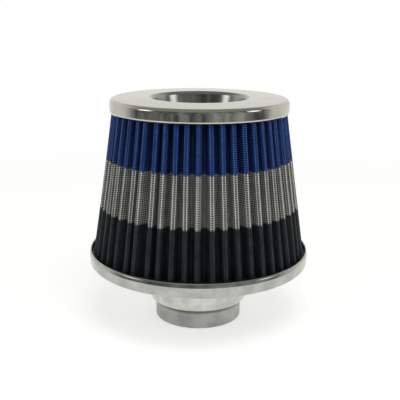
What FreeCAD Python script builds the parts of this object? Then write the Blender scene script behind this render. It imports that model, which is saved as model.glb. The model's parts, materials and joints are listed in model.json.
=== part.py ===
"""Cone air filter: a folded screen element held between a drawn top cap and a drawn base pan, on a short tube neck.

The axis is +Z and the origin is the centre of the neck's mouth, on which the filter stands. All sizes are millimetres.
"""

import FreeCAD
import Part
import math
import os

# Neck: the tube that a hose is pushed over and clamped on
NECK_RADIUS = 30.0
NECK_WALL = 1.6
NECK_LENGTH = 13.6
NECK_EDGE_BREAK = 0.4
NECK_GROOVE_DEPTH = 0.6
NECK_FLANGE_REACH = 1.4
NECK_FLANGE_THICKNESS = 1.2

# Base pan: one drawn sheet with an upright rim, a sloping floor and a hub that closes on the neck
PAN_RADIUS = 76.2
PAN_WALL = 0.9
PAN_RIM_HEIGHT = 10.0
PAN_SHOULDER_HEIGHT = 2.9
PAN_SHOULDER_TUCK = 0.7
PAN_SHOULDER_BEND = 1.6
PAN_FOOT_TUCK = 0.5
PAN_FOOT_BEND = 2.6
PAN_FLOOR_DROP = 4.0
HUB_HEIGHT = 22.6
HUB_FOOT_REACH = 3.6
HUB_DRAFT = 15.0
HUB_ROOT_BEND = 6.0
HUB_FOOT_BEND = 1.5

# Screen element: strips of coloured screen, joined edge to edge and folded together into pleats
PLEAT_COUNT = 52
PLEAT_DEPTH = 7.0
RIDGE_BEND = 1.75
RIDGE_FLAT_COUNT = 4
VALLEY_BEND = 1.4
VALLEY_FLAT_COUNT = 4
SCREEN_THICKNESS = 1.2
STRIP_HEIGHT = 33.3
STRIP_NAMES = ("pleats_black", "pleats_grey", "pleats_blue")

# Top cap: one drawn sheet with a skirt, a crowned ring and a dished centre
CAP_RADIUS = 61.0
CAP_WALL = 0.7
CAP_SKIRT_HEIGHT = 9.5
CAP_EDGE_TUCK = 0.6
CAP_EDGE_HEIGHT = 1.6
CAP_EDGE_BEND = 1.0
CAP_CORNER_BEND = 2.8
CAP_CROWN = 0.7
DISH_MOUTH_RADIUS = 32.2
DISH_MOUTH_BEND = 3.0
DISH_DEPTH = 46.0
DISH_FLOOR_RADIUS = 21.5
DISH_FLOOR_BEND = 9.0

# Cast end seals that the pleats' ends are set in
SEAL_MARGIN = 2.5
SEAL_CLEARANCE = 0.2

# Fits between neighbours
NECK_CLEARANCE = 0.15
PLEAT_PAN_MARGIN = 1.6
PLEAT_CAP_CLEARANCE = 0.15
PLEAT_SINK_PAN = 2.2
PLEAT_SINK_CAP = 2.8

# Heights that follow from the sizes above
HUB_FOOT_Z = NECK_LENGTH
PAN_FLOOR_INNER_Z = HUB_FOOT_Z + HUB_HEIGHT
PAN_FOOT_Z = PAN_FLOOR_INNER_Z + PAN_FLOOR_DROP
PAN_TOP_Z = PAN_FOOT_Z + PAN_RIM_HEIGHT
ELEMENT_FOOT_Z = PAN_TOP_Z - PLEAT_SINK_PAN
ELEMENT_TOP_Z = ELEMENT_FOOT_Z + STRIP_HEIGHT * len(STRIP_NAMES)
CAP_EDGE_Z = ELEMENT_TOP_Z - PLEAT_SINK_CAP
CAP_TOP_Z = CAP_EDGE_Z + CAP_SKIRT_HEIGHT


def at(radius, height):
    """A point of a half section: distance from the axis and height."""
    return FreeCAD.Vector(radius, 0, height)


def on_circle(radius, angle, height):
    """A point at a radius and an angle in radians, at a height."""
    return FreeCAD.Vector(radius * math.cos(angle), radius * math.sin(angle), height)


def turned(face):
    """The solid that a half section sweeps in one turn about the axis."""
    return face.revolve(FreeCAD.Vector(0, 0, 0), FreeCAD.Vector(0, 0, 1), 360)


def flat_section(points):
    """A half section bounded by straight lines through the points."""
    return Part.Face(Part.makePolygon(points + points[:1]))


def left_of(start, end):
    """The unit vector to the left of a run in the half section's plane."""
    run = (end - start).normalize()
    return FreeCAD.Vector(-run.z, 0, run.x)


def moved_left(corners, distance):
    """The corners of a bent line moved sideways, so that each run stays parallel to itself."""
    sides = [left_of(a, b) for a, b in zip(corners, corners[1:])]
    moved = [corners[0] + sides[0] * distance]
    for corner, before, after in zip(corners[1:], sides, sides[1:]):
        moved.append(corner + (before + after) * (distance / (1 + before.dot(after))))
    return moved + [corners[-1] + sides[-1] * distance]


def rounded_run(corners, bends):
    """Straight runs through the corners with a tangent arc at each inner corner."""
    edges = []
    start = corners[0]
    for before, corner, after, bend in zip(corners, corners[1:], corners[2:], bends):
        back = (before - corner).normalize()
        ahead = (after - corner).normalize()
        half_angle = back.getAngle(ahead) / 2
        reach = bend / math.tan(half_angle)
        middle = (back + ahead).normalize() * (bend / math.sin(half_angle) - bend)
        edges.append(Part.makeLine(start, corner + back * reach))
        edges.append(Part.Arc(corner + back * reach, corner + middle, corner + ahead * reach).toShape())
        start = corner + ahead * reach
    return edges + [Part.makeLine(start, corners[-1])]


def sheet_section(corners, bends, wall):
    """The half section of a bent sheet. Its shown side runs through the corners, its other side is a wall to the left.

    Each bend is the radius of the shown side, so the other side's is smaller or larger by the wall.
    """
    other = moved_left(corners, wall)
    other_bends = []
    for before, corner, after, bend in zip(corners, corners[1:], corners[2:], bends):
        turns_left = left_of(before, corner).dot(after - corner) > 0
        other_bends.append(bend - wall if turns_left else bend + wall)
    edges = rounded_run(corners, bends)
    edges.append(Part.makeLine(corners[-1], other[-1]))
    edges += rounded_run(other, other_bends)
    edges.append(Part.makeLine(other[0], corners[0]))
    return Part.Face(Part.Wire(Part.__sortEdges__(edges)))


def neck_tube():
    """A short tube with a turned groove for the hub's lip and a flange above it."""
    bore = NECK_RADIUS - NECK_WALL
    groove = NECK_RADIUS - NECK_GROOVE_DEPTH
    flange = NECK_RADIUS + NECK_FLANGE_REACH
    lip_top = HUB_FOOT_Z + PAN_WALL
    top = lip_top + NECK_FLANGE_THICKNESS
    edge = NECK_EDGE_BREAK
    section = [
        at(bore + edge, 0),
        at(NECK_RADIUS - edge, 0),
        at(NECK_RADIUS, edge),
        at(NECK_RADIUS, HUB_FOOT_Z),
        at(groove, HUB_FOOT_Z),
        at(groove, lip_top),
        at(flange, lip_top),
        at(flange, top),
        at(bore, top),
        at(bore, edge),
    ]
    return turned(flat_section(section))


def pan_corners():
    """The pan's outside, from the lip round the neck over hub, floor and rim to the rim's top edge."""
    lip = NECK_RADIUS - NECK_GROOVE_DEPTH + NECK_CLEARANCE
    hub_foot = NECK_RADIUS + HUB_FOOT_REACH
    hub_root = hub_foot + HUB_HEIGHT * math.tan(math.radians(HUB_DRAFT))
    return [
        at(lip, HUB_FOOT_Z),
        at(hub_foot, HUB_FOOT_Z),
        at(hub_root, PAN_FLOOR_INNER_Z),
        at(PAN_RADIUS - PAN_FOOT_TUCK, PAN_FOOT_Z),
        at(PAN_RADIUS, PAN_TOP_Z - PAN_SHOULDER_HEIGHT),
        at(PAN_RADIUS - PAN_SHOULDER_TUCK, PAN_TOP_Z),
    ]


def cap_corners():
    """The cap's outside, from the skirt's lower edge over the ring and down the dish to its middle."""
    dish_floor_z = CAP_TOP_Z - DISH_DEPTH
    return [
        at(CAP_RADIUS - CAP_EDGE_TUCK, CAP_EDGE_Z),
        at(CAP_RADIUS, CAP_EDGE_Z + CAP_EDGE_HEIGHT),
        at(CAP_RADIUS, CAP_TOP_Z),
        at(DISH_MOUTH_RADIUS, CAP_TOP_Z + CAP_CROWN),
        at(DISH_FLOOR_RADIUS, dish_floor_z),
        at(0, dish_floor_z),
    ]


def base_pan():
    """Rim, floor and hub drawn from one sheet."""
    bends = [HUB_FOOT_BEND, HUB_ROOT_BEND, PAN_FOOT_BEND, PAN_SHOULDER_BEND]
    return turned(sheet_section(pan_corners(), bends, PAN_WALL))


def top_cap():
    """Skirt, ring and dish drawn from one sheet."""
    bends = [CAP_EDGE_BEND, CAP_CORNER_BEND, DISH_MOUTH_BEND, DISH_FLOOR_BEND]
    return turned(sheet_section(cap_corners(), bends, CAP_WALL))


def rim_bore():
    """The inside radius of the pan at its rim's top edge."""
    return moved_left(pan_corners(), PAN_WALL)[-1].x


def skirt_bore():
    """The inside radius of the cap at its skirt's lower edge."""
    return moved_left(cap_corners(), CAP_WALL)[0].x


def seal_section(seat_run, bore, bend, face_z):
    """The half section of a cast seal that lies on a sloping seat, inside a bore, with its flat face at a height.

    The seat is the sheet's inner side between two corners. The seal keeps off the sheet's bend with a chamfer,
    and reaches a margin further in than the pleats do.
    """
    inner, outer = sorted(seat_run, key=lambda point: point.x)
    slope = (outer.z - inner.z) / (outer.x - inner.x)
    into = math.copysign(bend, face_z - outer.z)

    def seat_z(radius):
        return inner.z + slope * (radius - inner.x)

    outside = bore - SEAL_CLEARANCE
    inside = ridge_radius(face_z) - PLEAT_DEPTH - SCREEN_THICKNESS - SEAL_MARGIN
    return flat_section([
        at(inside, seat_z(inside)),
        at(outside - bend, seat_z(outside - bend)),
        at(outside, seat_z(outside) + into),
        at(outside, face_z),
        at(inside, face_z),
    ])


def bottom_seal():
    """The ring cast in the pan, which the pleats stand in."""
    seat = moved_left(pan_corners(), PAN_WALL + SEAL_CLEARANCE)[2:4]
    return turned(seal_section(seat, rim_bore(), PAN_FOOT_BEND, ELEMENT_FOOT_Z))


def top_seal():
    """The ring cast under the cap, which holds the pleats' upper ends."""
    seat = moved_left(cap_corners(), CAP_WALL + SEAL_CLEARANCE)[2:4]
    return turned(seal_section(seat, skirt_bore(), CAP_CORNER_BEND, ELEMENT_TOP_Z))


def ridge_radius(height):
    """Distance from the axis to the ridges: a straight cone from just inside the pan to just inside the cap."""
    at_pan = rim_bore() - PLEAT_PAN_MARGIN
    at_cap = skirt_bore() - PLEAT_CAP_CLEARANCE
    return at_pan + (at_cap - at_pan) * (height - PAN_TOP_Z) / (CAP_EDGE_Z - PAN_TOP_Z)


def arc_points(middle, radius, first_angle, last_angle, flats):
    """Points along a level arc, which stand for it as a number of equal flats."""
    step = (last_angle - first_angle) / flats
    return [middle + on_circle(radius, first_angle + number * step, 0) for number in range(flats + 1)]


def spun(point, angle):
    """A point turned about the axis by an angle in radians."""
    return FreeCAD.Rotation(FreeCAD.Vector(0, 0, 1), math.degrees(angle)).multVec(point)


def pleat_outline(height, inset):
    """One side of the folded sheet at a height: a bend over each ridge and valley, joined by their common tangents.

    The inset is how far this side lies behind the shown one: nothing, or the screen's thickness.
    """
    pitch = 2 * math.pi / PLEAT_COUNT
    ridge_middle = on_circle(ridge_radius(height) - RIDGE_BEND, 0, height)
    valley_middle = on_circle(ridge_radius(height) - PLEAT_DEPTH + VALLEY_BEND, pitch / 2, height)
    between = valley_middle - ridge_middle
    lean = math.asin((RIDGE_BEND + VALLEY_BEND) / between.Length)
    facing = math.atan2(between.y, between.x) - math.pi / 2 + lean
    valley_from = facing + math.pi
    valley_to = pitch - facing + math.pi
    ridge = arc_points(ridge_middle, RIDGE_BEND - inset, -facing, facing, RIDGE_FLAT_COUNT)
    valley = arc_points(valley_middle, VALLEY_BEND + inset, valley_from, valley_to, VALLEY_FLAT_COUNT)
    points = [spun(point, pleat * pitch) for pleat in range(PLEAT_COUNT) for point in ridge + valley]
    return Part.makePolygon(points + points[:1])


def pleated_strip(foot_z, top_z):
    """One strip of screen, folded: the space between its two sides, ruled from its lower edge to its upper edge."""
    shown = Part.makeLoft([pleat_outline(z, 0) for z in (foot_z, top_z)], True, True)
    behind = Part.makeLoft([pleat_outline(z, SCREEN_THICKNESS) for z in (foot_z, top_z)], True, True)
    return shown.cut(behind).Solids[0]


def pleated_strips():
    """The coloured strips from the pan to the cap, each standing on the one below."""
    strips = {}
    for number, name in enumerate(STRIP_NAMES):
        foot_z = ELEMENT_FOOT_Z + number * STRIP_HEIGHT
        strips[name] = pleated_strip(foot_z, foot_z + STRIP_HEIGHT)
    return strips


def main():
    nodes = {
        "neck_tube": neck_tube(),
        "base_pan": base_pan(),
        "bottom_seal": bottom_seal(),
        **pleated_strips(),
        "top_seal": top_seal(),
        "top_cap": top_cap(),
    }
    os.makedirs("parts", exist_ok=True)
    for name, shape in nodes.items():
        shape.exportStep(f"parts/{name}.step")
        box = shape.BoundBox
        print(f"{name}: {shape.ShapeType} {len(shape.Solids)} solid, valid {shape.isValid()}, "
              f"{shape.Volume / 1000:.2f} cm3, z {box.ZMin:.2f} to {box.ZMax:.2f}, radius {box.XMax:.2f}")


main()
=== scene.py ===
# %% [markdown]
# # A cone air filter, dressed for its picture
# The filter is a folded screen element in three colours, held between a polished cap and a polished base pan.
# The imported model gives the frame: where each piece lies and how large it is.
# Every cell below makes one piece or one finish, and the pieces take their places from that frame.

# %% Load the frame
import json
import math
import bmesh
import bpy
import numpy as np
from mathutils import Matrix, Vector


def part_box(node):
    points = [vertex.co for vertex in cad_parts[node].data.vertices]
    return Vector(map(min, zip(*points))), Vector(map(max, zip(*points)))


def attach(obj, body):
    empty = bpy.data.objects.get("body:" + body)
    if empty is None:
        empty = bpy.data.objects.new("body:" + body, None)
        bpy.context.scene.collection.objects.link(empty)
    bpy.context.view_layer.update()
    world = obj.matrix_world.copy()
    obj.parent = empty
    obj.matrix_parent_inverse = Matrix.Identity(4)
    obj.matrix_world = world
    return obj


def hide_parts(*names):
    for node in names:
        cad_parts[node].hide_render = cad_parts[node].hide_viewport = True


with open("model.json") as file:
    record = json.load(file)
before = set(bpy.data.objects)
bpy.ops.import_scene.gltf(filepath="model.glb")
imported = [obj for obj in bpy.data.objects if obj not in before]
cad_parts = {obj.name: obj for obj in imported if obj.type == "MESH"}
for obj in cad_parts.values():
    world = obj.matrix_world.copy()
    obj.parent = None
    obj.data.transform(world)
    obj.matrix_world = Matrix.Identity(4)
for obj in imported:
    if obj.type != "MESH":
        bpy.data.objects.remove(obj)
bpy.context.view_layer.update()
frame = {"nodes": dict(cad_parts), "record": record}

MM = 0.001

# %% [markdown]
# ## From numbers to a mesh
# Every piece here is a grid of points: rows in one direction, columns in the other.
# A grid that closes on itself both ways is a ring with no edge, which suits turned sheets and the folded screen.
# Adding vertices one by one in a loop would be slow, so whole arrays of numbers go to Blender at once.
# The signed volume tells whether the faces look outwards, and they are turned round if they don't.

# %% Which points make a face, and which way it looks


def quad_corners(rows, columns, close_rows):
    """Row and column of each quad's four corners. Columns always close on themselves, rows where asked."""
    row_count = rows if close_rows else rows - 1
    row, column = np.meshgrid(np.arange(row_count), np.arange(columns), indexing="ij")
    row_corners = np.stack([row, row, row + 1, row + 1], -1).reshape(-1, 4)
    column_corners = np.stack([column, column + 1, column + 1, column], -1).reshape(-1, 4)
    return row_corners, column_corners


def signed_volume(points, quads):
    """Sum over the faces of the volume between face and origin: positive if the faces look outwards."""
    a, b, c, d = (points[quads[:, k]] for k in range(4))
    return (np.cross(b, c) * a).sum() / 6 + (np.cross(c, d) * a).sum() / 6


print("a ring of 4 rows and 6 columns has", len(quad_corners(4, 6, True)[0]), "faces")

# %% [markdown]
# ## One maker for every piece
# The grid becomes vertices, its quads become faces, and a map for cloth is added where a piece needs one.
# Faces are shaded smooth, because the metal's bends and rims are rounded and the screen is bent.
# Only an edge that is cut with shears is left sharp, and the piece says from which angle.
# Each piece then stands for one solid of the model, rides on its body and takes its finish.

# %% A grid of points becomes a piece


def grid_piece(name, grid, close_rows=True, uv=None, sharp_from=None):
    """A mesh object from a grid of points (rows, columns, 3). uv is two grids, one row and column larger."""
    rows, columns = grid.shape[:2]
    points = grid.reshape(-1, 3)
    row, column = quad_corners(rows, columns, close_rows)
    quads = (row % rows) * columns + column % columns
    if signed_volume(points, quads) < 0:
        row, column, quads = row[:, ::-1], column[:, ::-1], quads[:, ::-1]
    mesh = bpy.data.meshes.new(name)
    mesh.vertices.add(len(points))
    mesh.vertices.foreach_set("co", points.astype(np.float32).ravel())
    mesh.loops.add(quads.size)
    mesh.loops.foreach_set("vertex_index", quads.astype(np.int32).ravel())
    mesh.polygons.add(len(quads))
    mesh.polygons.foreach_set("loop_start", np.arange(0, quads.size, 4, dtype=np.int32))
    mesh.update(calc_edges=True)
    if uv is not None:
        layer = mesh.uv_layers.new(name="cloth")
        pair = np.stack([uv[0][row, column], uv[1][row, column]], -1)
        layer.data.foreach_set("uv", pair.astype(np.float32).ravel())
    mesh.validate()
    mesh.shade_smooth()
    if sharp_from is not None:
        mesh.set_sharp_from_angle(angle=sharp_from)
    piece = bpy.data.objects.new(name, mesh)
    bpy.context.collection.objects.link(piece)
    return piece


def settle(piece, node, material):
    """Puts the piece in a solid's place: it rides the one body, stands for the node and takes its finish."""
    piece.data.materials.append(material)
    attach(piece, "root")
    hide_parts(node)
    print(f"{piece.name}: {len(piece.data.vertices)} points, {2 * len(piece.data.polygons)} triangles")


print("solids to stand for:", sorted(frame["nodes"]))

# %% [markdown]
# ## Bent sheet
# Cap, pan and neck are sheet metal that was drawn or turned, so each is a half section carried round the axis.
# A section is a short list of corners with a bend at each one, exactly as a press tool is drawn.
# Blender could bevel a curve for this, but working the arcs out keeps the wall even on both sides of a bend.

# %% Straight runs and bends
STEPS_PER_BEND = 12
LONGEST_STEP = 1.6 * MM


def straight(start, end):
    """Even steps from start up to, but not including, end."""
    steps = max(1, math.ceil(np.linalg.norm(end - start) / LONGEST_STEP))
    return start + (end - start) * np.arange(steps)[:, None] / steps


def unit(vector):
    """The vector with a length of one."""
    return vector / np.linalg.norm(vector)


def bent_line(corners, bends):
    """Points along straight runs, with an arc at each inner corner that touches both of its runs.

    The arc's middle lies on the line that halves the corner, at the bend's radius over the half angle's sine.
    """
    stretches = []
    start = corners[0]
    for before, corner, after, bend in zip(corners, corners[1:], corners[2:], bends):
        back, ahead = unit(before - corner), unit(after - corner)
        half = math.acos(np.clip(back @ ahead, -1, 1)) / 2
        middle = corner + unit(back + ahead) * bend / math.sin(half)
        reach = bend / math.tan(half)
        spread = np.linspace(-1, 1, STEPS_PER_BEND + 1)[:, None] * (math.pi / 2 - half)
        arc = middle + bend * (np.cos(spread) * unit(corner - middle) + np.sin(spread) * unit(ahead - back))
        stretches += [straight(start, corner + back * reach), arc[:-1]]
        start = corner + ahead * reach
    return np.concatenate(stretches + [straight(start, corners[-1]), corners[-1:]])


trial_bend = bent_line(np.array([(10.0, 0.0), (0.0, 0.0), (0.0, 10.0)]) * MM, [2.0 * MM])
print("a right angle with one bend is a line of", len(trial_bend), "points")

# %% [markdown]
# ## A wall's thickness
# A sheet has two sides that stay one wall apart, so the second side is the first one moved sideways.
# A bend that is 2 mm on one side of a 1 mm wall is 1 mm or 3 mm on the other, depending on which way it turns.
# The two sides joined end to end are a closed line, and turned round the axis they are the whole piece.

# %% Two sides of a sheet, carried round the axis
STEPS_AROUND = 288


def left_of(corners):
    """Unit vectors to the left of each run between corners in the half section."""
    run = np.diff(corners, axis=0)
    run /= np.linalg.norm(run, axis=1, keepdims=True)
    return np.stack([-run[:, 1], run[:, 0]], 1)


def moved_left(corners, distance):
    """The corners moved sideways so that each run stays parallel to itself."""
    side = left_of(corners)
    first, last = corners[:1] + side[:1] * distance, corners[-1:] + side[-1:] * distance
    before, after = side[:-1], side[1:]
    reach = distance / (1 + (before * after).sum(1, keepdims=True))
    return np.concatenate([first, corners[1:-1] + (before + after) * reach, last])


def sheet_line(corners, bends, wall):
    """Round a bent sheet: along its shown side, then back along the other side, a wall to the left."""
    corners = np.array(corners)
    run, side = np.diff(corners, axis=0), left_of(corners)
    turns_left = (side[:-1] * run[1:]).sum(1) > 0
    other_bends = np.where(turns_left, np.array(bends) - wall, np.array(bends) + wall)
    shown = bent_line(corners, bends)
    other = bent_line(moved_left(corners, wall), other_bends)
    return np.concatenate([shown, other[::-1]])


def turned(line):
    """Carries a half section round the axis: x = r cos a, y = r sin a, z = height, never under the table."""
    angle = np.linspace(0, 2 * math.pi, STEPS_AROUND, endpoint=False)
    radius, height = line[:, :1], np.maximum(line[:, 1:], 0)
    return np.stack([radius * np.cos(angle), radius * np.sin(angle), height + 0 * angle], -1)


print("turned pieces have a facet every", 360 / STEPS_AROUND, "degrees")

# %% [markdown]
# ## Finishes are small machines
# A finish is a tree of nodes: it reads where a point lies on the piece, does sums with it, and feeds the shader.
# Wiring each node by hand makes long code, so these helpers each add one node and give back its result.
# An operand may be a plain number or another node's result.

# %% Helpers for sums in a node tree


def new_material(name):
    """A material with a principled shader: the material, its node tree and its shader."""
    material = bpy.data.materials.new(name)
    material.use_nodes = True
    return material, material.node_tree, material.node_tree.nodes["Principled BSDF"]


def feed(tree, value, socket):
    """Joins another node's result to a socket, or sets a plain value on it."""
    if isinstance(value, bpy.types.NodeSocket):
        tree.links.new(value, socket)
    elif value is not None:
        socket.default_value = value


def math_node(tree, operation, *operands):
    """One Math node with its operands in order."""
    node = tree.nodes.new("ShaderNodeMath")
    node.operation = operation
    for socket, value in zip(node.inputs, operands):
        feed(tree, value, socket)
    return node.outputs[0]


def vector_node(tree, operation, *operands):
    """One Vector Math node whose result is a number."""
    node = tree.nodes.new("ShaderNodeVectorMath")
    node.operation = operation
    for socket, value in zip(node.inputs, operands):
        feed(tree, value, socket)
    return node.outputs["Value"]


def remapped(tree, value, low, high, to_low, to_high, smooth=False):
    """A Map Range node from one span of numbers to another."""
    node = tree.nodes.new("ShaderNodeMapRange")
    node.interpolation_type = "SMOOTHSTEP" if smooth else "LINEAR"
    feed(tree, value, node.inputs["Value"])
    for name, number in zip(("From Min", "From Max", "To Min", "To Max"), (low, high, to_low, to_high)):
        node.inputs[name].default_value = number
    return node.outputs[0]


def split_point(tree, point):
    """The three numbers of a point or a direction."""
    node = tree.nodes.new("ShaderNodeSeparateXYZ")
    tree.links.new(point, node.inputs[0])
    return node.outputs["X"], node.outputs["Y"], node.outputs["Z"]


print("sums for finishes are ready")

# %% [markdown]
# ## Noise, colour and relief
# Real surfaces are never even, and noise read at a chosen scale is the plainest way to say so.
# Noise of a single number gives lines, and noise of a point gives patches.
# Relief is a bump: the shader tilts its normal by a height, which is enough for marks thinner than a hair.

# %% Helpers for noise, colour and relief


def object_point(tree):
    """The point on the piece, in metres from the origin."""
    return tree.nodes.new("ShaderNodeTexCoord").outputs["Object"]


def noise(tree, coordinate, scale, detail=3.0, roughness=0.5, one_way=False):
    """A noise value. One-way noise reads a single number in place of a point."""
    node = tree.nodes.new("ShaderNodeTexNoise")
    node.noise_dimensions = "1D" if one_way else "3D"
    tree.links.new(coordinate, node.inputs["W" if one_way else "Vector"])
    node.inputs["Scale"].default_value = scale
    node.inputs["Detail"].default_value = detail
    node.inputs["Roughness"].default_value = roughness
    return node.outputs["Fac"]


def mixed(tree, share, first, second, blend="MIX"):
    """A colour between two colours, or the first one tinted by the second."""
    node = tree.nodes.new("ShaderNodeMix")
    node.data_type = "RGBA"
    node.blend_type = blend
    feed(tree, share, node.inputs["Factor"])
    colour_sockets = [socket for socket in node.inputs if socket.type == "RGBA"]
    for socket, value in zip(colour_sockets, (first, second)):
        feed(tree, (*value, 1) if isinstance(value, tuple) else value, socket)
    return [socket for socket in node.outputs if socket.type == "RGBA"][0]


def bump(tree, height, strength, distance, under=None):
    """A bump from a height, laid over another bump where one is given."""
    node = tree.nodes.new("ShaderNodeBump")
    node.inputs["Strength"].default_value = strength
    node.inputs["Distance"].default_value = distance
    feed(tree, height, node.inputs["Height"])
    feed(tree, under, node.inputs["Normal"])
    return node.outputs["Normal"]


print("noise, colour and relief are ready")

# %% [markdown]
# ## Turned and polished metal
# Polished sheet is a mirror with a few small faults: fine lines left by the buffing wheel, which run round
# the axis, slow waves and small ripples of the drawn sheet, and a faint haze where hands and cloths have been.
# Scratches could be painted by hand, but noise of the distance along the section gives lines that run true.
# Each metal also has a zone that is duller than the rest and tinted darker, painted shade in the dish and on the
# rim and grime with painted shadow at the neck's joint, so one function makes all three.

# %% A maker of turned metal
LINES_PER_METRE = 2600.0
WAVES_PER_METRE, RIPPLES_PER_METRE = 22.0, 130.0
LINE_SHARE, MOTTLE_SHARE = 0.5, 0.75
MOTTLE_SPAN, STREAK_SPAN = (0.32, 0.68), (0.1, 1.1)
HEIGHT_SHARE = 0.83
SHEET_RELIEF, LINE_RELIEF, RIPPLE_SHARE = 0.35, 0.3, 1 / 8


def turned_metal(name, light, dark, gloss, line_depth, unevenness, mottles_per_metre, zone):
    """Metal with lines round the axis. Colour and roughness follow lines and mottles added together.

    gloss is the least and the most roughness. The zone says what it is measured along, where it starts,
    where it is full, its tint, the painted shade (at the neck's joint also grime) laid over the colour there,
    and how much roughness it adds.
    """
    material, tree, shader = new_material(name)
    point = object_point(tree)
    x, y, z = split_point(tree, point)
    across = math_node(tree, "SQRT", math_node(tree, "MULTIPLY_ADD", y, y, math_node(tree, "MULTIPLY", x, x)))
    along = math_node(tree, "MULTIPLY_ADD", z, HEIGHT_SHARE, across)
    lines = noise(tree, along, LINES_PER_METRE, 4.0, 0.6, one_way=True)
    patches = noise(tree, point, mottles_per_metre, 5.0, 0.6)
    mottle = remapped(tree, patches, *MOTTLE_SPAN, 0.0, MOTTLE_SHARE)
    streaked = math_node(tree, "MULTIPLY_ADD", lines, LINE_SHARE, mottle)
    measured_along, zone_start, zone_full, zone_shade_tint, zone_haze = zone
    measure = across if measured_along == "radius" else z
    inside = remapped(tree, measure, zone_start, zone_full, 0.0, 1.0, smooth=True)
    colour = mixed(tree, remapped(tree, streaked, *STREAK_SPAN, 0.0, 1.0), dark, light)
    polish = remapped(tree, streaked, *STREAK_SPAN, *gloss)
    roughness = math_node(tree, "MULTIPLY_ADD", inside, zone_haze, polish)
    waves = bump(tree, noise(tree, point, WAVES_PER_METRE, 1.0), SHEET_RELIEF, unevenness)
    small_waves = noise(tree, point, RIPPLES_PER_METRE, 2.0)
    ripples = bump(tree, small_waves, SHEET_RELIEF, unevenness * RIPPLE_SHARE, waves)
    # The zone's tint is painted shade multiplied into the colour, at the neck's joint together with grime.
    feed(tree, mixed(tree, inside, colour, zone_shade_tint, "MULTIPLY"), shader.inputs["Base Color"])
    feed(tree, roughness, shader.inputs["Roughness"])
    feed(tree, bump(tree, lines, LINE_RELIEF, line_depth, ripples), shader.inputs["Normal"])
    shader.inputs["Metallic"].default_value = 1.0
    return material


print("a buffing line every", round(1 / LINES_PER_METRE / MM, 2), "mm or so")

# %% [markdown]
# ## Three metals
# Cap and pan are polished, the pan is stained by handling, and the neck is left as it was turned.
# One finish for all would be quicker, but the photograph shows three tones, so each has its own colours.
# Inside its mouth the cap is hazier and carries painted shade that darkens the dish.
# The pan's rim is duller than its hub and carries painted shade, and grime with a painted shadow darkens the
# tube just under the hub's foot.

# %% Cap, pan and neck metal
# The first zone is painted shade: inside the cap's mouth the dish is tinted darker and made hazier.
dish_painted_shade = ("radius", 34.6 * MM, 33.4 * MM, (0.64, 0.665, 0.71), 0.09)
# The second zone is painted shade: the pan's rim is tinted darker than the hub and made a little duller.
rim_painted_shade = ("radius", 56.0 * MM, 68.0 * MM, (0.66, 0.67, 0.67), 0.05)
# The third zone is grime with painted shadow: the neck just below the hub's foot is tinted dark and made duller.
joint_grime_and_shadow = ("height", 9.6 * MM, 11.8 * MM, (0.42, 0.42, 0.41), 0.1)
polished_cap_metal = turned_metal(
    "polished_cap_metal", light=(0.55, 0.552, 0.495), dark=(0.42, 0.422, 0.38), gloss=(0.05, 0.14),
    line_depth=0.010 * MM, unevenness=1.2 * MM, mottles_per_metre=70.0, zone=dish_painted_shade)
polished_pan_metal = turned_metal(
    "polished_pan_metal", light=(0.76, 0.765, 0.715), dark=(0.45, 0.46, 0.43), gloss=(0.06, 0.18),
    line_depth=0.012 * MM, unevenness=1.0 * MM, mottles_per_metre=90.0, zone=rim_painted_shade)
dull_tube_metal = turned_metal(
    "dull_tube_metal", light=(0.48, 0.49, 0.465), dark=(0.24, 0.245, 0.235), gloss=(0.30, 0.46),
    line_depth=0.020 * MM, unevenness=0.8 * MM, mottles_per_metre=60.0, zone=joint_grime_and_shadow)
print("metals:", polished_cap_metal.name, polished_pan_metal.name, dull_tube_metal.name)

# %% [markdown]
# ## The neck tube
# The neck is a dull aluminium tube that a hose is clamped on. A groove holds it in the pan's lip,
# and a flange inside keeps it from pulling out. Its outline has only straight runs, so a small bend
# at every corner stands for the broken edges of turned metal and catches a thin line of light.

# %% Neck tube
neck_low, neck_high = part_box("neck_tube")
pan_low, pan_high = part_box("base_pan")
pan_wall = 0.9 * MM
hub_foot, lip_top = pan_low.z, pan_low.z + pan_wall
neck_radius, neck_bore = (mount["dims"]["r_mm"] * MM for mount in frame["record"]["mounts"][:2])
neck_groove = neck_radius - 0.6 * MM
edge_bend = 0.35 * MM
neck_corners = np.array([
    (neck_bore, lip_top / 2), (neck_bore, 0), (neck_radius, 0), (neck_radius, hub_foot),
    (neck_groove, hub_foot), (neck_groove, lip_top), (neck_high.x, lip_top), (neck_high.x, neck_high.z),
    (neck_bore, neck_high.z), (neck_bore, lip_top / 2)])
neck_bends = np.array([1, 1, 1 / 2, 1 / 4, 1 / 4, 1, 1, 1]) * edge_bend
neck_line = bent_line(neck_corners, neck_bends)[:-1]
neck_tube = grid_piece("neck_tube_turned", turned(neck_line))
settle(neck_tube, "neck_tube", dull_tube_metal)

# %% [markdown]
# ## The base pan
# One sheet was drawn into a rim, a sloping floor and a hub. The rim's upper strip leans in a little,
# so it mirrors the room while the band below it mirrors the table: that is why the photograph shows two tones.
# A plain cylinder would lose that line of light, so every bend of the section is drawn.

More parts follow.
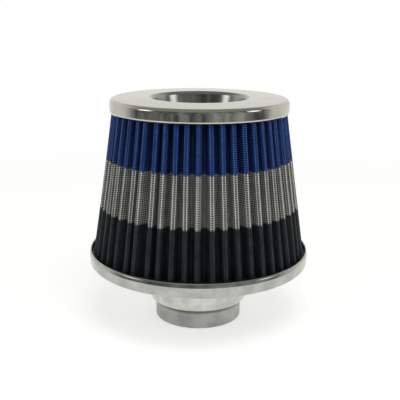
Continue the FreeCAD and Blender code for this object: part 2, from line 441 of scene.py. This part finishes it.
# %% Base pan
pan_radius, pan_top = pan_high.x, pan_high.z
rim_height, shoulder_height, shoulder_tuck, foot_tuck = 10.0 * MM, 2.9 * MM, 0.7 * MM, 0.5 * MM
floor_drop, hub_draft, neck_gap = 4.0 * MM, math.radians(15.0), 0.15 * MM
pan_foot = pan_top - rim_height
floor_inner = pan_foot - floor_drop
hub_foot_radius = neck_radius + 3.6 * MM
hub_root_radius = hub_foot_radius + (floor_inner - hub_foot) * math.tan(hub_draft)
pan_corners = [
    (neck_groove + neck_gap, hub_foot), (hub_foot_radius, hub_foot), (hub_root_radius, floor_inner),
    (pan_radius - foot_tuck, pan_foot), (pan_radius, pan_top - shoulder_height),
    (pan_radius - shoulder_tuck, pan_top)]
pan_bends = np.array([1.5, 6.0, 2.6, 1.6]) * MM
base_pan = grid_piece("base_pan_drawn", turned(sheet_line(pan_corners, pan_bends, pan_wall)))
settle(base_pan, "base_pan", polished_pan_metal)

# %% [markdown]
# ## The top cap
# The cap is drawn from one sheet too: a skirt with its edge tucked in, a ring that is crowned very slightly,
# and a mouth that rolls over into a deep closed dish. The line ends on the axis on both sides of the sheet,
# so the grid's first and last rows shrink to a pole, and merging the doubled points closes it.

# %% The cap's line
cap_low, cap_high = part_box("top_cap")
cap_radius, cap_wall, crown = cap_high.x, 0.7 * MM, 0.7 * MM
skirt_height, edge_height, edge_tuck = 9.5 * MM, 1.6 * MM, 0.6 * MM
dish_depth, dish_mouth, dish_floor = 46.0 * MM, 32.2 * MM, 21.5 * MM
dish_floor_height = cap_low.z + cap_wall
cap_top = dish_floor_height + dish_depth
cap_edge = cap_top - skirt_height
cap_corners = [
    (cap_radius - edge_tuck, cap_edge), (cap_radius, cap_edge + edge_height), (cap_radius, cap_top),
    (dish_mouth, cap_top + crown), (dish_floor, dish_floor_height), (0, dish_floor_height)]
cap_bends = np.array([1.0, 2.8, 3.0, 9.0]) * MM
cap_loop = sheet_line(cap_corners, cap_bends, cap_wall)
on_axis = int(np.argmin(cap_loop[:, 0]))
cap_line = np.roll(cap_loop, -(on_axis + 1), axis=0)
print("the cap's line starts and ends on the axis:", cap_line[0].round(4), cap_line[-1].round(4))

# %% [markdown]
# ### A pole without a hole
# Where the line meets the axis, a whole row of points lies in one place, and its faces have no width.
# Merging the points that coincide leaves one point with a fan of triangles, as a drawn sheet has no seam there.

# %% Top cap


def close_poles(piece):
    """Merges the points that meet on the axis and drops the faces that shrink to nothing there."""
    work = bmesh.new()
    work.from_mesh(piece.data)
    bmesh.ops.remove_doubles(work, verts=work.verts, dist=1e-7)
    work.to_mesh(piece.data)
    work.free()


top_cap = grid_piece("top_cap_drawn", turned(cap_line), close_rows=False)
close_poles(top_cap)
settle(top_cap, "top_cap", polished_cap_metal)

# %% [markdown]
# ## The folded screen
# The element is a sheet of woven screen folded into pleats: a round ridge, a straight side, a valley, and back.
# An array of one perfect pleat would look like a machine part, and real pleats are never quite alike:
# ridges stand a little unevenly apart, sway and lean a little, and differ in depth.
# The unevenness comes from a few seeded numbers for each pleat, so it is the same every time.

# %% Where the ridges and valleys run
pleat_count = 52
pleat_depth, ridge_bend, valley_bend, screen_thickness = 7.0 * MM, 1.75 * MM, 1.4 * MM, 1.2 * MM
pan_margin, cap_gap = 1.6 * MM, 0.1 * MM
element_foot, element_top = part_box("pleats_black")[0].z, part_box("pleats_blue")[1].z
ridge_at_pan = pan_radius - shoulder_tuck - pan_wall - pan_margin
ridge_at_cap = cap_radius - edge_tuck - cap_wall - cap_gap
pitch = 2 * math.pi / pleat_count
first_ridge = -math.pi / 2
chance = np.random.default_rng(52)
uneven_turn = chance.normal(0, 0.085, pleat_count).clip(-0.17, 0.17) * pitch
uneven_depth = chance.uniform(0, 0.6 * MM, pleat_count)
uneven_push = chance.uniform(0, 0.35 * MM, pleat_count)
sway_size = chance.normal(0, 0.02, pleat_count) * pitch
sway_phase = chance.uniform(0, 2 * math.pi, pleat_count)
lean = chance.normal(0, 0.035, pleat_count) * pitch


def cone_radius(height):
    """The even cone that the ridges lie on: a straight line from the pan's rim to the cap's skirt."""
    return ridge_at_pan + (ridge_at_cap - ridge_at_pan) * (height - pan_top) / (cap_edge - pan_top)


def ridge_lines(height):
    """Angle and radius of every ridge at each height: a straight cone, with each ridge's own sway and push."""
    rise = ((height - element_foot) / (element_top - element_foot))[:, None]
    even = first_ridge + pitch * np.arange(pleat_count)
    sway = sway_size * np.sin(5.0 * rise + sway_phase) + lean * (rise - 0.5)
    return even + uneven_turn + sway, cone_radius(height)[:, None] - uneven_push * np.sin(math.pi * rise)


print("ridges are", round(pitch * ridge_at_pan / MM, 2), "mm apart at the pan,",
      round(pitch * ridge_at_cap / MM, 2), "mm at the cap")

# %% [markdown]
# ### One side of a pleat
# A pleating machine presses the sheet round two blades, so a side is the straight line that touches both bends.
# Such a common tangent follows from the two bends' middles and radii, so nothing has to be fitted by eye.
# All pleats at all heights are worked out in one go, as arrays.

# %% From a ridge to a valley
RIDGE_STEPS, SIDE_STEPS, VALLEY_STEPS = 6, 5, 4


def wrapped(angle):
    """An angle brought between minus and plus half a turn."""
    return (angle + math.pi) % (2 * math.pi) - math.pi


def around(angle):
    """Points on the unit circle."""
    return np.stack([np.cos(angle), np.sin(angle)], -1)


def swept(start, turn, steps):
    """Even steps of an angle from its start through a turn."""
    return start[..., None] + turn[..., None] * np.linspace(0, 1, steps + 1)


def half_fold(ridge_angle, ridge_radius, valley_angle, valley_radius, inset):
    """Points from a ridge's top down one side to a valley's floor.

    An arc about the ridge's middle, the common tangent of both arcs, then an arc about the valley's middle.
    """
    ridge_middle = around(ridge_angle) * (ridge_radius - ridge_bend)[..., None]
    valley_middle = around(valley_angle) * (valley_radius + valley_bend)[..., None]
    between = valley_middle - ridge_middle
    side = np.sign(wrapped(valley_angle - ridge_angle))
    tilt = np.arcsin((ridge_bend + valley_bend) / np.linalg.norm(between, axis=-1))
    facing = np.arctan2(between[..., 1], between[..., 0]) - side * (math.pi / 2 - tilt)
    over = swept(ridge_angle, wrapped(facing - ridge_angle), RIDGE_STEPS)
    under = swept(facing + math.pi, wrapped(valley_angle - facing), VALLEY_STEPS)
    ridge = ridge_middle[..., None, :] + around(over) * (ridge_bend - inset)
    valley = valley_middle[..., None, :] + around(under) * (valley_bend + inset)
    share = np.linspace(0, 1, SIDE_STEPS + 1)[1:-1, None]
    flank = ridge[..., -1:, :] + (valley[..., :1, :] - ridge[..., -1:, :]) * share
    return np.concatenate([ridge, flank, valley], -2)


print("a pleat has", 2 * (RIDGE_STEPS + SIDE_STEPS + VALLEY_STEPS), "steps from ridge to ridge")

# %% [markdown]
# ### Once round the filter
# Every pleat is a side down from its own ridge and a side up to the next one, and the last ends at the first.
# The valley lies halfway between its two ridges, so an uneven ridge moves both valleys beside it.
# The same lines moved in by the screen's thickness are the sheet's back.

# %% The whole folded line


def fold_rows(height, inset):
    """The folded sheet's line at each height, once round the filter: points (rows, columns, 3)."""
    angle, radius = ridge_lines(height)
    next_angle, next_radius = np.roll(angle, -1, 1), np.roll(radius, -1, 1)
    valley_angle = angle + wrapped(next_angle - angle) / 2
    valley_radius = (radius + next_radius) / 2 - pleat_depth + uneven_depth
    down = half_fold(angle, radius, valley_angle, valley_radius, inset)
    up = half_fold(next_angle, next_radius, valley_angle, valley_radius, inset)[..., -2:0:-1, :]
    flat = np.concatenate([down, up], -2).reshape(len(height), -1, 2)
    level = np.broadcast_to(height[:, None, None], (*flat.shape[:2], 1))
    return np.concatenate([flat, level], -1)


one_turn = fold_rows(np.array([element_foot]), 0)[0]
sheet_length = np.linalg.norm(np.diff(one_turn, axis=0, append=one_turn[:1]), axis=-1).sum()
print("the folded sheet is", round(sheet_length, 2), "m long at its foot")

# %% [markdown]
# ### The weave's own coordinates
# A woven pattern has to follow the folds, so each point carries how far along the sheet it lies and how high.
# The distance along is measured on the line of points itself, pleat by pleat, and becomes the cloth's UV map.
# Each point also carries how deep it lies in its fold, so that the finish can paint shade into the valleys.

# %% One strip of folded screen
thread_pitch = 1.4 * MM
ROWS_PER_STRIP = 14
CUT_EDGE = math.radians(60)


def cloth_map(grid, heights):
    """Threads along and threads up for every point, with one more row and column so that the map can close."""
    closed = np.concatenate([grid, grid[:, :1]], 1)
    step = np.linalg.norm(np.diff(closed, axis=1), axis=-1).mean(0)
    along = np.concatenate([[0], np.cumsum(step)]) / thread_pitch
    up = np.append(heights, heights[0]) / thread_pitch
    return np.meshgrid(along, up)


def folded_strip(name, node):
    """A closed strip: its shown side from foot to top, then its other side back from top to foot."""
    low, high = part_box(node)
    height = np.linspace(low.z, high.z, ROWS_PER_STRIP)
    grid = np.concatenate([fold_rows(height, 0), fold_rows(height[::-1], screen_thickness)])
    threads = cloth_map(grid, np.concatenate([height, height[::-1]]))
    piece = grid_piece(name, grid, uv=threads, sharp_from=CUT_EDGE)
    # The depth in the fold is stored so that the finish can paint shade into the valleys.
    depth = cone_radius(grid[..., 2]) - np.hypot(grid[..., 0], grid[..., 1])
    painted_fold_shade = piece.data.attributes.new("painted_fold_shade", "FLOAT", "POINT")
    painted_fold_shade.data.foreach_set("value", (depth / pleat_depth).clip(0, 1).astype(np.float32).ravel())
    return piece


print("threads lie", round(thread_pitch / MM, 2), "mm apart")

# %% [markdown]
# ### Woven screen as a finish
# The screen is square-woven thread with open holes. Threads lie at whole numbers of the cloth's map.
# A thread's height falls off to both sides of its middle, and at each crossing one thread lies over the other.
# Colour follows the same height: thread colour on the threads, and a darker one in the holes, where cloth shows.
# Real threads would take millions of faces, so the weave is colour and relief on the folded sheet.

# %% A maker of woven screen
THREAD_CORE, THREAD_EDGE, CROSSING_RISE = 0.08, 0.18, 0.25
SHADE_START, SHADE_FULL = 0.04, 0.40
PATCHES_PER_METRE, FUZZ_PER_METRE = 160.0, 900.0


def thread_height(tree, number):
    """How near a point is to a thread: 1 on the thread's core, falling to 0 at its edge."""
    nearest = math_node(tree, "ROUND", number)
    away = math_node(tree, "ABSOLUTE", math_node(tree, "SUBTRACT", number, nearest))
    return remapped(tree, away, THREAD_CORE, THREAD_EDGE, 1.0, 0.0, smooth=True)


def woven_height(tree):
    """Warp or weft, whichever is higher. Which one is up at a crossing changes as cos(pi u) cos(pi v)."""
    cloth = tree.nodes.new("ShaderNodeUVMap")
    cloth.uv_map = "cloth"
    u, v, _ = split_point(tree, cloth.outputs["UV"])
    u_wave, v_wave = (math_node(tree, "COSINE", math_node(tree, "MULTIPLY", n, math.pi)) for n in (u, v))
    over = math_node(tree, "MULTIPLY", u_wave, v_wave)
    warp_rise = math_node(tree, "MULTIPLY_ADD", over, CROSSING_RISE, 1 - CROSSING_RISE)
    weft_rise = math_node(tree, "MULTIPLY_ADD", over, -CROSSING_RISE, 1 - CROSSING_RISE)
    warp = math_node(tree, "MULTIPLY", thread_height(tree, u), warp_rise)
    weft = math_node(tree, "MULTIPLY", thread_height(tree, v), weft_rise)
    return math_node(tree, "MAXIMUM", warp, weft)


def woven_screen(name, thread, worn, hole, sheen, painted_shade_strength):
    """Cloth of crossing threads with darker holes, uneven from patch to patch, with painted shade in the
    valleys.
    """
    material, tree, shader = new_material(name)
    point = object_point(tree)
    height = woven_height(tree)
    patchy = noise(tree, point, PATCHES_PER_METRE, 4.0, 0.6)
    thread_colour = mixed(tree, remapped(tree, patchy, 0.35, 0.65, 0.0, 1.0), thread, worn)
    woven = mixed(tree, remapped(tree, height, 0.15, 0.75, 0.0, 1.0), hole, thread_colour)
    # Painted shade: the colour is darkened towards black the deeper a point lies in its fold.
    painted_fold_shade = tree.nodes.new("ShaderNodeAttribute")
    painted_fold_shade.attribute_name = "painted_fold_shade"
    shade = remapped(tree, painted_fold_shade.outputs["Fac"], SHADE_START, SHADE_FULL, 0.0, painted_shade_strength, smooth=True)
    fuzz = bump(tree, noise(tree, point, FUZZ_PER_METRE, 2.0), 0.25, 0.12 * MM)
    feed(tree, mixed(tree, shade, woven, (0.0, 0.0, 0.0)), shader.inputs["Base Color"])
    feed(tree, remapped(tree, patchy, 0.3, 0.7, 0.52, 0.68), shader.inputs["Roughness"])
    feed(tree, bump(tree, height, 0.8, 0.22 * MM, fuzz), shader.inputs["Normal"])
    shader.inputs["Specular IOR Level"].default_value = sheen
    return material


print("a thread is", round(2 * THREAD_EDGE * thread_pitch / MM, 2), "mm wide")

# %% [markdown]
# ### Three colours
# The screen is coloured in three even strips: black at the pan, silver grey in the middle, blue at the cap.
# One strip with painted bands would do, but the model has a solid for each colour, so each strip is a piece.
# The strips share their ridges, because the ridges depend on the height alone.

# %% Black, grey and blue strips
# The last number of each screen says how dark its valleys are painted, as painted shade.
black_screen = woven_screen(
    "black_screen_cloth", thread=(0.037, 0.045, 0.051), worn=(0.016, 0.021, 0.025),
    hole=(0.006, 0.0085, 0.0105), sheen=0.22, painted_shade_strength=0.35)
grey_screen = woven_screen(
    "grey_screen_cloth", thread=(0.69, 0.695, 0.655), worn=(0.50, 0.505, 0.475),
    hole=(0.005, 0.0055, 0.005), sheen=0.3, painted_shade_strength=0.36)
blue_screen = woven_screen(
    "blue_screen_cloth", thread=(0.036, 0.112, 0.41), worn=(0.023, 0.076, 0.30),
    hole=(0.003, 0.008, 0.032), sheen=0.22, painted_shade_strength=0.52)
for colour_name, screen_cloth in (("black", black_screen), ("grey", grey_screen), ("blue", blue_screen)):
    strip = folded_strip(f"pleats_{colour_name}_folded", f"pleats_{colour_name}")
    settle(strip, f"pleats_{colour_name}", screen_cloth)

# %% [markdown]
# ## Cast seals
# The ends of the pleats are set in rings of black polyurethane that is poured and left to harden.
# Only a dark line of the lower one shows, between the rim and the pleats.
# A cast surface is never flat, so its finish is a soft, slightly glossy black with a slow ripple and small pits.

# %% Seal finish


def cast_seal_finish():
    """Soft black with a low sheen, small pits and a slow ripple."""
    material, tree, shader = new_material("cast_seal_black")
    point = object_point(tree)
    pits, ripple = noise(tree, point, 700.0, 3.0), noise(tree, point, 70.0, 2.0)
    feed(tree, mixed(tree, ripple, (0.008, 0.009, 0.010), (0.016, 0.017, 0.018)), shader.inputs["Base Color"])
    feed(tree, remapped(tree, pits, 0.3, 0.7, 0.42, 0.6), shader.inputs["Roughness"])
    rippled = bump(tree, ripple, 0.4, 0.8 * MM)
    feed(tree, bump(tree, pits, 0.3, 0.1 * MM, rippled), shader.inputs["Normal"])
    return material


seal_finish = cast_seal_finish()
print("seal finish:", seal_finish.name)

# %% [markdown]
# ### Where the seals lie
# A poured ring takes the shape of what it is poured into, so one face is level and the other follows the sheet.
# Its seat is therefore the sheet's own line moved in by the wall and a small gap.
# The outer corner is cut off, because the sheet bends there.

# %% Seals
seal_gap, seal_margin, seal_bend = 0.2 * MM, 2.5 * MM, 0.5 * MM


def cast_ring(name, node, seat_inner, seat_outer, corner):
    """A turned ring between a flat face and a sloping seat, with its corner kept off the sheet's bend."""
    low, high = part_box(node)
    face = high.z if node == "bottom_seal" else low.z
    outside, inside = high.x, cone_radius(face) - pleat_depth - screen_thickness - seal_margin
    slope = (seat_outer[1] - seat_inner[1]) / (seat_outer[0] - seat_inner[0])
    seat = seat_inner[1] + slope * (np.array([inside, outside - corner, outside]) - seat_inner[0])
    into = math.copysign(corner, face - seat[2])
    halfway = (inside, (seat[0] + face) / 2)
    corners = np.array([
        halfway, (inside, seat[0]), (outside - corner, seat[1]), (outside, seat[2] + into),
        (outside, face), (inside, face), halfway])
    return grid_piece(name, turned(bent_line(corners, [seal_bend] * 5)[:-1]))


pan_seat = moved_left(np.array(pan_corners), pan_wall + seal_gap)[2:4]
cap_seat = moved_left(np.array(cap_corners), cap_wall + seal_gap)[2:4][::-1]
bottom_seal = cast_ring("bottom_seal_cast", "bottom_seal", *pan_seat, corner=2.6 * MM)
top_seal = cast_ring("top_seal_cast", "top_seal", *cap_seat, corner=2.8 * MM)
settle(bottom_seal, "bottom_seal", seal_finish)
settle(top_seal, "top_seal", seal_finish)

# %% [markdown]
# ## The table
# The filter stands on a pale table that is lit so evenly that it is nearly white in the picture.
# A table with an edge would draw a line through the metal's reflections, so this one fades out before its edge.
# It glows a little, which stands for the light that a white studio throws back from all sides.

# %% Table
TABLE_RADIUS, FADE_START, FADE_END = 2.4, 0.32, 0.70


def pale_table():
    """A round table top: rings of points on the plane z = 0, see-through from the fade's start to its end."""
    angle = np.linspace(0, 2 * math.pi, 96, endpoint=False)
    radius = np.array([0.0, 0.1, 0.3, 0.6, 1.0, 1.6, TABLE_RADIUS])[:, None]
    grid = np.stack([radius * np.cos(angle), radius * np.sin(angle), 0 * radius + 0 * angle], -1)
    table = grid_piece("table", grid, close_rows=False)
    material, tree, shader = new_material("table_paper")
    distance = vector_node(tree, "LENGTH", object_point(tree))
    feed(tree, remapped(tree, distance, FADE_START, FADE_END, 1.0, 0.0, smooth=True), shader.inputs["Alpha"])
    shader.inputs["Base Color"].default_value = (0.55, 0.55, 0.545, 1)
    shader.inputs["Emission Color"].default_value = (1.0, 1.0, 0.985, 1)
    shader.inputs["Emission Strength"].default_value = 0.56
    shader.inputs["Roughness"].default_value = 0.75
    table.data.materials.append(material)
    return table


print("the table fades out", FADE_END, "m from the axis:", pale_table().name)

# %% [markdown]
# ## Surroundings
# Polished metal shows what stands round it more than it shows itself, so the surroundings are part of its look.
# Behind stands a white wall, in front a darker room with two windows, and the ceiling is dim.
# A picture of a real room could be wrapped round the scene, but a few soft shapes are enough and stay tidy.
# The camera itself sees plain white, because the darker room is kept for reflections.

# %% Surroundings
ROOM_DARK, ROOM_LIGHT = 0.03, 0.32
WHITE_WALL, DIM_CEILING, PLAIN_WHITE = (0.88, 0.87, 0.83), (0.34, 0.34, 0.33), (1.0, 1.0, 1.0)
WINDOW_ASIDE, WINDOW_FORWARD, WINDOW_UP = 0.92, -0.28, 0.30
WINDOW_WIDTH, WINDOW_LIGHT = 13.0, 2.6
SIDE_WALL, SIDE_WALL_WIDTH, SIDE_WALL_LIGHT = (0.62, -0.75, -0.12), 38.0, 0.16


def soft_patch(tree, direction, towards, width):
    """A round patch of light: 1 in the direction it lies, falling to 0 at its width in degrees."""
    nearness = vector_node(tree, "DOT_PRODUCT", direction, Vector(towards).normalized())
    return remapped(tree, nearness, math.cos(math.radians(width)), 1.0, 0.0, 1.0, smooth=True)


def surroundings():
    """A white wall behind, a dim ceiling, a darker room in front, and plain white for the camera itself."""
    world = bpy.data.worlds.new("studio")
    bpy.context.scene.world = world
    world.use_nodes = True
    tree = world.node_tree
    tree.nodes.clear()
    direction = tree.nodes.new("ShaderNodeTexCoord").outputs["Generated"]
    x, y, z = split_point(tree, direction)
    streaks = noise(tree, math_node(tree, "ARCTAN2", x, y), 3.4, 3.0, 0.6, one_way=True)
    blotches = noise(tree, direction, 6.0, 2.0, 0.6)
    clutter = math_node(tree, "MULTIPLY_ADD", blotches, 0.5, math_node(tree, "MULTIPLY", streaks, 0.5))
    room = remapped(tree, clutter, 0.40, 0.60, ROOM_DARK, ROOM_LIGHT)
    for side in (-1, 1):
        towards = (side * WINDOW_ASIDE, WINDOW_FORWARD, WINDOW_UP)
        window = soft_patch(tree, direction, towards, WINDOW_WIDTH)
        room = math_node(tree, "MULTIPLY_ADD", window, WINDOW_LIGHT, room)
    side_wall = soft_patch(tree, direction, SIDE_WALL, SIDE_WALL_WIDTH)
    room = math_node(tree, "MULTIPLY_ADD", side_wall, SIDE_WALL_LIGHT, room)
    behind = remapped(tree, y, -0.10, 0.32, 0.0, 1.0, smooth=True)
    overhead = remapped(tree, z, 0.45, 0.75, 0.0, 1.0, smooth=True)
    level = mixed(tree, overhead, mixed(tree, behind, room, WHITE_WALL), DIM_CEILING)
    camera_sees = tree.nodes.new("ShaderNodeLightPath").outputs["Is Camera Ray"]
    light, out = tree.nodes.new("ShaderNodeBackground"), tree.nodes.new("ShaderNodeOutputWorld")
    feed(tree, mixed(tree, camera_sees, level, PLAIN_WHITE), light.inputs["Color"])
    feed(tree, light.outputs[0], out.inputs[0])
    return world


print("surroundings:", surroundings().name)

# %% [markdown]
# ## Lamps
# The screen is dull, so it takes its shading from lamps and not from reflections.
# Three large soft lamps, one above and two in front, light the ridges and leave the valleys dark, and painted
# shade in the screen's finish darkens the valleys further.
# They don't show in the metal, where bright squares would look like a photograph's mistakes.

# %% Lamps


def soft_box(name, place, aim, size, power):
    """A square area lamp at a place, aimed at a point."""
    data = bpy.data.lights.new(name, "AREA")
    data.size = size
    data.energy = power
    lamp = bpy.data.objects.new(name, data)
    lamp.visible_glossy = False
    lamp.location = place
    lamp.rotation_euler = (Vector(aim) - Vector(place)).to_track_quat("-Z", "Y").to_euler()
    bpy.context.collection.objects.link(lamp)
    print(f"{name}: {power} W from {size} m")


middle = (0, 0, 0.08)
soft_box("lamp_above", (0.15, -0.5, 1.2), middle, 0.7, 7.0)
soft_box("lamp_front_left", (-0.9, -0.9, 0.75), middle, 0.5, 3.5)
soft_box("lamp_front_right", (1.0, -0.7, 0.6), middle, 0.4, 2.5)

# %% [markdown]
# ## Camera
# The camera stands where the photograph's did: half a metre off, a little above the cap and looking down.
# Its place follows from the ellipses of the cap, the pan and the neck, which open more the lower they lie.
# The picture is 400 pixels wide, so a lens given in pixels becomes one in millimetres on the sensor.

# %% Camera
IMAGE_SIDE, FOCAL_PIXELS, SENSOR_WIDTH, FRAME_SHIFT = 400, 721.6, 36.0, -0.10
CAMERA_BACK, CAMERA_UP = 0.4882, 0.2139
CAMERA_PITCH, CAMERA_ROLL, CAMERA_YAW = (math.radians(angle) for angle in (-11.882, 0.45, 0.07))
camera_data = bpy.data.cameras.new("camera")
camera_data.sensor_width = SENSOR_WIDTH
camera_data.lens = FOCAL_PIXELS / IMAGE_SIDE * SENSOR_WIDTH
camera_data.shift_y = FRAME_SHIFT
camera = bpy.data.objects.new("camera", camera_data)
camera.rotation_mode = "XYZ"
camera.location = (0, -CAMERA_BACK, CAMERA_UP)
yawed, rolled = Matrix.Rotation(-CAMERA_YAW, 3, "Z"), Matrix.Rotation(CAMERA_ROLL, 3, "Z")
tilted = Matrix.Rotation(math.pi / 2 + CAMERA_PITCH, 3, "X")
camera.rotation_euler = (yawed @ tilted @ rolled).to_euler()
bpy.context.collection.objects.link(camera)
bpy.context.scene.camera = camera
bpy.context.scene.view_settings.view_transform = "Standard"
print("the lens is", round(camera_data.lens, 1), "mm on a sensor of", SENSOR_WIDTH, "mm")
